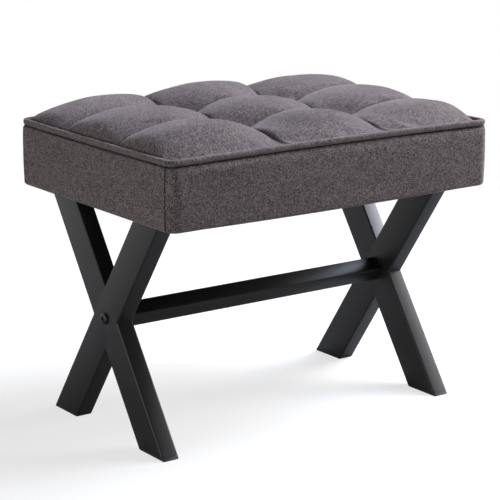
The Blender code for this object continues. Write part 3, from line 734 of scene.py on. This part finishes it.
class TuftGrid:
    """Points of the top panel: flat places, sewn valleys and the pillows between them."""

    def __init__(self):
        self.half_x = HALF_WIDTH - PANEL_INSET
        self.half_y = HALF_DEPTH - PANEL_INSET
        self.lay_out()
        self.press_tacks()
        self.paint_tuck_shade()

    def lay_out(self):
        """Lay the grid with its leaning seams, its valleys and the swell of its pillows."""
        swells_x = []
        for skew, right_fullness, edge_fullness in PILLOW_ROWS:
            across, swell = tuft_lines(TUFT_SEAMS_X, self.half_x, TUFT_CELLS[0],
                                       (LEFT_FULLNESS, right_fullness), (SIDE_FULLNESS, edge_fullness), skew)
            swells_x += [swell] * TUFT_CELLS[1]
        swells_x.append(swell)
        deep, swell_y = tuft_lines(TUFT_SEAMS_Y, self.half_y, TUFT_CELLS[1], SEAM_FULLNESS_Y,
                                   (FRONT_FULLNESS, BACK_FULLNESS), 0.0)
        self.columns = len(across)
        self.rows = len(deep)
        self.swell = swell_y[:, np.newaxis] * np.array(swells_x)
        self.across, self.deep = np.meshgrid(across, deep)
        share_x = self.across / self.half_x
        share_y = self.deep / self.half_y
        to_front = (1 - share_y) / 2
        to_left = (1 - share_x) / 2
        bend = SEAM_LEAN[0] * to_front ** 2 + FRONT_BEND * to_front ** FRONT_BEND_CURVE
        leaned_x = self.across + bend * (1 - share_x ** 2)
        leaned_y = self.deep + SEAM_LEAN[1] * (1 - share_y ** 2) * to_left ** 2
        self.x, self.y = round_corners(leaned_x, leaned_y, self.half_x, self.half_y,
                                       SEAT_CORNER_RADIUS - PANEL_INSET)
        edge = PIPING_HEIGHT - PANEL_SINK + edge_rise(self.x, self.y)
        inside = (1 - np.abs(share_x) ** VALLEY_SPREAD) * (1 - np.abs(share_y) ** VALLEY_SPREAD)
        self.valley = edge + (VALLEY_RISE + PANEL_SINK) * inside

    def nearness(self, x, y, reach):
        """1 at a place of the grid, falling to 0 round it."""
        return np.exp(-(np.hypot(self.across - x, self.deep - y) / reach) ** 2)

    def press_tacks(self):
        """Pull the cloth down round each tack, and leave every pillow a full crown."""
        for seam in TUFT_SEAMS_X:
            tacks = [(seam + FRONT_TACK_SHIFT, -self.half_y, FRONT_TACK_RADIUS)]
            tacks += [(seam, crossing, TACK_RADIUS) for crossing in TUFT_SEAMS_Y]
            for tack in tacks:
                self.swell *= 1 - TACK_DEPTH * self.nearness(*tack)
        for block, _ in self.blocks():
            self.swell[block] /= self.swell[block].max()

    def paint_tuck_shade(self):
        """Painted shade along the seams, and round their ends at the front."""
        to_seam = np.min([np.abs(self.across - seam) for seam in TUFT_SEAMS_X]
                         + [np.abs(self.deep - seam) for seam in TUFT_SEAMS_Y], axis=0)
        shades = [np.exp(-(to_seam / TUCK_SHADE_REACH) ** 2)]
        shades += [self.nearness(seam + FRONT_TUCK_SHADE_REACH / 2, -self.half_y, FRONT_TUCK_SHADE_REACH)
                   for seam in TUFT_SEAMS_X]
        self.tuck_shade = TUCK_SHADE_DEPTH * np.max(shades, axis=0)

    def pillows(self, share):
        """Points of the panel with pillows of a share of the full crown."""
        crowns = np.zeros_like(self.valley)
        for block, crown in self.blocks():
            crowns[block] = crown
        rise = share * (crowns - self.valley) * self.swell
        return np.stack([self.x, self.y, self.valley + rise], axis=-1)

    def blocks(self):
        """Points inside each pillow, and the height of its crown."""
        for row in range(len(TUFT_SEAMS_Y) + 1):
            for column in range(len(TUFT_SEAMS_X) + 1):
                block = (slice(row * TUFT_CELLS[1] + 1, (row + 1) * TUFT_CELLS[1]),
                         slice(column * TUFT_CELLS[0] + 1, (column + 1) * TUFT_CELLS[0]))
                to_right = column / len(TUFT_SEAMS_X)
                to_front = 1 - row / len(TUFT_SEAMS_Y)
                crown = PIPING_HEIGHT + CROWN - CROWN_DROP * to_right * to_front
                if to_front == 0 and to_right in (0, 1):
                    crown -= BACK_CORNER_DROP
                yield block, crown

    def sewn(self):
        """Indices of the points on the valleys and round the edge."""
        return [row * self.columns + column for row in range(self.rows) for column in range(self.columns)
                if row % TUFT_CELLS[1] == 0 or column % TUFT_CELLS[0] == 0]

    def settle(self, points):
        """Keep each pillow between its seams and bring it to its crown height."""
        for block, crown in self.blocks():
            for axis, places in enumerate((self.x, self.y)):
                low = places[block].min(axis=1 - axis, keepdims=True)
                high = places[block].max(axis=1 - axis, keepdims=True)
                points[block][..., axis] = np.clip(points[block][..., axis], low, high)
            valley = self.valley[block]
            rise = points[block][..., 2] - valley
            peak = np.unravel_index(np.argmax(points[block][..., 2]), rise.shape)
            points[block][..., 2] = valley + rise * (crown - valley[peak]) / rise[peak]
        return points


def blow_up(points, sewn):
    """Fill the pillows: cloth held along its seams and pushed out by pressure."""
    rows, columns = points.shape[:2]
    faces = [(row * columns + column, row * columns + column + 1,
              (row + 1) * columns + column + 1, (row + 1) * columns + column)
             for row in range(rows - 1) for column in range(columns - 1)]
    mesh = bpy.data.meshes.new("panel_cloth")
    mesh.from_pydata(points.reshape(-1, 3).tolist(), [], faces)
    panel = new_object("panel_cloth", mesh)
    panel.vertex_groups.new(name="sewn").add(sewn, 1.0, "REPLACE")
    cloth = panel.modifiers.new("fill", "CLOTH")
    settings = cloth.settings
    for name, value in FILL_CLOTH.items():
        setattr(settings, name, value)
    settings.vertex_group_mass = "sewn"
    settings.effector_weights.gravity = 0
    cloth.collision_settings.use_collision = False
    cloth.point_cache.frame_end = FILL_FRAMES
    scene = bpy.context.scene
    for number in range(1, FILL_FRAMES + 1):
        scene.frame_set(number)
    filled = panel.evaluated_get(bpy.context.evaluated_depsgraph_get())
    flat = np.empty(rows * columns * 3, np.float32)
    filled.data.vertices.foreach_get("co", flat)
    scene.frame_set(1)
    bpy.data.objects.remove(panel)
    moved = flat.reshape(points.shape).astype(float) - points
    travel = np.maximum(np.linalg.norm(moved, axis=-1, keepdims=True), TINY)
    return points + moved * np.minimum(1, FILL_REACH / travel)


def run_along(points, axis):
    """Length of cloth along one way of a grid, measured from its middle line."""
    steps = np.linalg.norm(np.diff(points, axis=axis), axis=-1)
    run = np.insert(np.cumsum(steps, axis=axis), 0, 0.0, axis=axis)
    return run - np.take(run, [points.shape[axis] // 2], axis=axis)


def rim(rows):
    """Edge of a grid of vertices, all the way round."""
    return rows[0] + [row[-1] for row in rows[1:]] + rows[-1][-2::-1] + [row[0] for row in rows[-2:0:-1]]


def crease_valleys(shape, rows):
    """Keep the valleys sharp where the panel is made finer."""
    crease = shape.edges.layers.float.new("crease_edge")
    across, deep = TUFT_CELLS
    pairs = [pair for row in rows[deep:-1:deep] for pair in zip(row, row[1:])]
    for first, second in zip(rows, rows[1:]):
        pairs += zip(first[across:-1:across], second[across:-1:across])
    for pair in pairs:
        shape.edges.get(pair)[crease] = VALLEY_CREASE


def make_tufted_panel(materials):
    """Quilted top: pillows in rows and columns with sewn valleys between them."""
    grid = TuftGrid()
    points = grid.settle(blow_up(grid.pillows(FLAT_CROWN_SHARE), grid.sewn()))
    shape = bmesh.new()
    rows = new_rows(shape, points)
    flat_places = np.stack([run_along(points, 1), run_along(points, 0)], axis=-1)
    flats = dict(zip(sum(rows, []), flat_places.reshape(-1, 2)))
    loft(shape, rows, closed_ring=False)
    base = new_rows(shape, np.stack([grid.x, grid.y, np.full_like(grid.x, PANEL_BASE)], axis=-1))
    loft(shape, base, closed_ring=False)
    for above, under in zip(rows, base):
        flats.update((lower, flats[upper]) for upper, lower in zip(above, under))
    loft(shape, [rim(rows), rim(base)])
    # shade is painted along the sewn valleys of the top, none on its base
    tuck_shades = dict.fromkeys(sum(base, []), 0.0)
    tuck_shades.update(zip(sum(rows, []), grid.tuck_shade.flat))
    lay_cloth(shape, flats, tuck_shades)
    crease_valleys(shape, rows)
    panel = finish_piece("tufted_panel", shape, materials, "seat_cloth")
    finer = panel.modifiers.new("finer", "SUBSURF")
    finer.levels = 1
    finer.render_levels = 1
    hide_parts("tufted_top")


# Inside and under the seat
def seat_ring(inset, height):
    """Ring round the seat at a distance inside its outline."""
    return [point - normal * inset + UP * height for point, normal in seat_outline()]


def make_foam_block(materials):
    """Foam under the top panel, with softened upper edges and a lip past the board's edge."""
    low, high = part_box("foam_core")
    board_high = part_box("seat_board")[1]
    outer = HALF_WIDTH - high.x
    inner = HALF_WIDTH - board_high.x - SEAM_GAP
    points = [seat_ring(inner, board_high.z + SEAM_GAP), seat_ring(inner, low.z), seat_ring(outer, low.z)]
    points += [seat_ring(outer + inset, high.z - drop) for inset, drop in quarter_round(FOAM_ROUND)]
    shape = bmesh.new()
    loft_capped(shape, new_rows(shape, points))
    foam = finish_piece("foam_block", shape, materials, "foam", SMOOTH_ANGLE)
    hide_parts("foam_core")


def make_dust_cover(materials):
    """Thin cloth under the board, stapled round its edge and hanging a little between."""
    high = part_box("dust_cover")[1]
    shape = bmesh.new()
    rows = []
    for row in range(DUST_COVER_CELLS[1] + 1):
        deep = 2 * row / DUST_COVER_CELLS[1] - 1
        rows.append([])
        for column in range(DUST_COVER_CELLS[0] + 1):
            across = 2 * column / DUST_COVER_CELLS[0] - 1
            sag = DUST_COVER_SAG * (1 - across ** 4) * (1 - deep ** 4)
            place = Vector((across * DUST_COVER_RIPPLES[0], deep * DUST_COVER_RIPPLES[1], 0))
            height = high.z - DUST_COVER_THICKNESS - sag + DUST_COVER_RIPPLE * noise.noise(place)
            rows[-1].append(shape.verts.new((across * high.x, deep * high.y, height)))
    loft(shape, rows, closed_ring=False)
    cover = finish_piece("dust_cover_sheet", shape, materials, "dust_cloth")
    thick = cover.modifiers.new("thickness", "SOLIDIFY")
    thick.thickness = DUST_COVER_THICKNESS
    thick.offset = 0
    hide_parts("dust_cover")


def add_staple(shape, place):
    """Crown of one staple, with its legs turned up into the board."""
    half = STAPLE_CROWN / 2
    bend = STAPLE_WIRE
    path = [(-half, STAPLE_LEG), (-half, bend), (-half + bend, 0),
            (half - bend, 0), (half, bend), (half, STAPLE_LEG)]
    rows = []
    for index, (x, z) in enumerate(path):
        before = Vector(path[max(index - 1, 0)])
        after = Vector(path[min(index + 1, len(path) - 1)])
        along = (after - before).normalized()
        row = []
        for side in range(STAPLE_SIDES):
            turn = tau * side / STAPLE_SIDES
            out = STAPLE_WIRE / 2 * cos(turn)
            row.append(shape.verts.new(place @ Vector((
                x - along.y * out, STAPLE_WIRE / 2 * sin(turn), z + along.x * out))))
        rows.append(row)
    loft_capped(shape, rows)


def make_staples(materials):
    """Staples round the edge of the dust cover."""
    low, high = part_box("dust_cover")
    half_x = high.x - STAPLE_INSET
    half_y = high.y - STAPLE_INSET
    draw = random.Random(STAPLE_SEED)
    shape = bmesh.new()
    for half, across, facing in ((half_x, half_y, 0.0), (half_y, half_x, pi / 2)):
        turn = Matrix.Rotation(facing, 4, "Z")
        count = round(2 * half / STAPLE_SPACING)
        for side in (-1, 1):
            for number in range(count):
                along = -half + 2 * half * (number + 0.5) / count
                skew = Matrix.Rotation(draw.uniform(-STAPLE_SKEW, STAPLE_SKEW), 4, "Z")
                add_staple(shape, turn @ Matrix.Translation((along, side * across, low.z)) @ skew)
    finish_piece("dust_cover_staples", shape, materials, "zinc", SMOOTH_ANGLE)


# X frames
class LegCross:
    """Two legs that cross flush, measured from the box of one of them."""

    def __init__(self, name):
        low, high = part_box(f"{name}_long_leg")
        self.middle = (low.x + high.x) / 2
        self.half_thickness = (high.x - low.x) / 2
        self.foot = low.z
        self.head = high.z
        width = high.y - low.y
        height = high.z - low.z
        self.lean = acos(LEG_WIDTH / hypot(width, height)) - atan2(height, width)
        reach = LEG_WIDTH / 2 / cos(self.lean)
        foot_side = max(abs(low.y), abs(high.y)) - reach
        self.crossing = low.z + foot_side / tan(self.lean)

    def outline(self, half_width):
        """Outline of the cross in its own plane, with a weld fillet in each inner corner."""
        reach = half_width / cos(self.lean)
        rise = half_width / sin(self.lean)
        fillet = WELD_FILLET + LEG_WIDTH / 2 - half_width
        top = (self.head - self.crossing) * tan(self.lean)
        foot = (self.crossing - self.foot) * tan(self.lean)
        upper = self.inner_corner((0, self.crossing + rise), pi / 2, self.lean, fillet)
        lower = self.inner_corner((0, self.crossing - rise), -pi / 2, self.lean, fillet)
        left = [(-top + reach, self.head), (-top - reach, self.head)]
        left += self.inner_corner((-reach, self.crossing), pi, pi / 2 - self.lean, fillet)
        left += [(-foot - reach, self.foot), (-foot + reach, self.foot)]
        return upper + left + lower + [(-y, z) for y, z in left[::-1]]

    @staticmethod
    def inner_corner(corner, facing, half_angle, radius):
        """Fillet in a corner that opens in one direction."""
        away = radius / sin(half_angle)
        centre = (corner[0] + away * cos(facing), corner[1] + away * sin(facing))
        half_turn = pi / 2 - half_angle
        points = []
        for step in range(FILLET_STEPS + 1):
            angle = facing + pi - half_turn + 2 * half_turn * step / FILLET_STEPS
            points.append((centre[0] + radius * cos(angle), centre[1] + radius * sin(angle)))
        return points[::-1]

    def rings(self):
        """Outlines across the thickness, rounded along the legs' edges."""
        half = [(self.half_thickness - inset, LEG_WIDTH / 2 - drop)
                for inset, drop in quarter_round(LEG_EDGE_RADIUS)]
        sections = [(-x, width) for x, width in half] + half[::-1]
        return [[Vector((self.middle + x, y, z)) for y, z in self.outline(width)] for x, width in sections]


def make_x_frame(name, materials):
    """Two crossed legs, welded flush and coated as one."""
    shape = bmesh.new()
    loft_capped(shape, new_rows(shape, LegCross(name).rings()))
    cross = finish_piece(f"{name}_x_frame", shape, materials, "powder_coat", SMOOTH_ANGLE)
    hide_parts(f"{name}_long_leg", f"{name}_upper_half_leg", f"{name}_lower_half_leg")


# Stage
def make_floor():
    """White floor that keeps the stool's shadow and fades into the white behind it."""
    shape = bmesh.new()
    bmesh.ops.create_grid(shape, x_segments=1, y_segments=1, size=FLOOR_HALF_SIZE)
    floor = new_object("studio_floor", mesh_from("studio_floor", shape))
    material = bpy.data.materials.new("studio_floor_white")
    material.use_nodes = True
    tree = material.node_tree
    tree.nodes.clear()
    bounce, pale = (add_node(tree, "ShaderNodeBsdfDiffuse", {"Color": (tone, tone, tone, 1.0)}).outputs[0]
                    for tone in (FLOOR_BOUNCE, FLOOR_TONE))
    white, glow, mirror_glow = (add_node(tree, "ShaderNodeEmission", {"Strength": strength}).outputs[0]
                                for strength in (1.0, FLOOR_GLOW, FLOOR_MIRROR_GLOW))
    place = add_node(tree, "ShaderNodeTexCoord").outputs["Object"]
    distance = add_node(tree, "ShaderNodeVectorMath", {0: place}, operation="LENGTH").outputs["Value"]
    fade = remap(tree, distance, FLOOR_FADE, way="SMOOTHSTEP")
    seen, mirrored = (
        mix_shader(tree, fade, add_node(tree, "ShaderNodeAddShader", {0: pale, 1: light}).outputs[0], white)
        for light in (glow, mirror_glow))
    path = add_node(tree, "ShaderNodeLightPath").outputs
    unseen = mix_shader(tree, path["Is Glossy Ray"], bounce, mirrored)
    shown = mix_shader(tree, path["Is Camera Ray"], unseen, seen)
    tree.links.new(shown, add_node(tree, "ShaderNodeOutputMaterial").inputs["Surface"])
    floor.data.materials.append(material)


def make_world():
    """White background, dim as a light, and dark in front of the stool where it is mirrored."""
    world = bpy.data.worlds.new("studio")
    bpy.context.scene.world = world
    world.use_nodes = True
    tree = world.node_tree
    path = add_node(tree, "ShaderNodeLightPath").outputs
    direction = add_node(tree, "ShaderNodeTexCoord").outputs["Generated"]
    facing = add_node(tree, "ShaderNodeVectorMath", {0: direction, 1: WHITE_SIDE}, operation="DOT_PRODUCT")
    mirrored = remap(tree, facing.outputs["Value"], MIRROR_FADE, (MIRROR_DARK, 1.0), "SMOOTHSTEP")
    dim = mix(tree, path["Is Glossy Ray"], AMBIENT, mirrored)
    plain = calculate(tree, "MAXIMUM", path["Is Camera Ray"], path["Is Transmission Ray"])
    strength = mix(tree, plain, dim, 1.0)
    background = tree.nodes["Background"]
    background.inputs["Color"].default_value = (1.0, 1.0, 1.0, 1.0)
    tree.links.new(strength, background.inputs["Strength"])


def add_softbox(name, place, size, power, colour):
    """Area light that faces the stool."""
    lamp = bpy.data.lights.new(name, "AREA")
    lamp.shape = "RECTANGLE"
    lamp.size, lamp.size_y = size
    lamp.energy = power
    lamp.color = colour
    light = new_object(name, lamp)
    light.location = place
    light.rotation_euler = (LIGHT_AIM - Vector(place)).to_track_quat("-Z", "Y").to_euler()


def make_lights():
    """Low key light at the right, two cooler ones higher up and a fill from the left."""
    for name, look in SOFTBOXES.items():
        add_softbox(name, *look)


def make_camera():
    """Camera at the photograph's viewing angle."""
    data = bpy.data.cameras.new("camera")
    data.sensor_width = SENSOR_WIDTH
    data.lens = FOCAL_PIXELS * SENSOR_WIDTH / IMAGE_SIZE
    camera = new_object("camera", data)
    level = cos(CAMERA_ELEVATION)
    back = Vector((sin(CAMERA_AZIMUTH) * level, -cos(CAMERA_AZIMUTH) * level,
                   sin(CAMERA_ELEVATION)))
    turn = (-back).to_track_quat("-Z", "Y") @ Matrix.Rotation(CAMERA_ROLL, 3, "Z").to_quaternion()
    camera.location = CAMERA_TARGET + back * CAMERA_DISTANCE
    camera.rotation_euler = turn.to_euler()
    bpy.context.scene.camera = camera


def main():
    """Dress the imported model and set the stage."""
    bpy.context.scene.view_settings.view_transform = "Standard"
    materials = make_materials()
    dress_packed_nodes(materials)
    make_foam_block(materials)
    make_tufted_panel(materials)
    for side in BAND_FACING:
        make_band(side, materials)
    make_piping(materials)
    make_dust_cover(materials)
    make_staples(materials)
    for name in ("left", "right"):
        make_x_frame(name, materials)
    make_floor()
    make_world()
    make_lights()
    make_camera()


main()
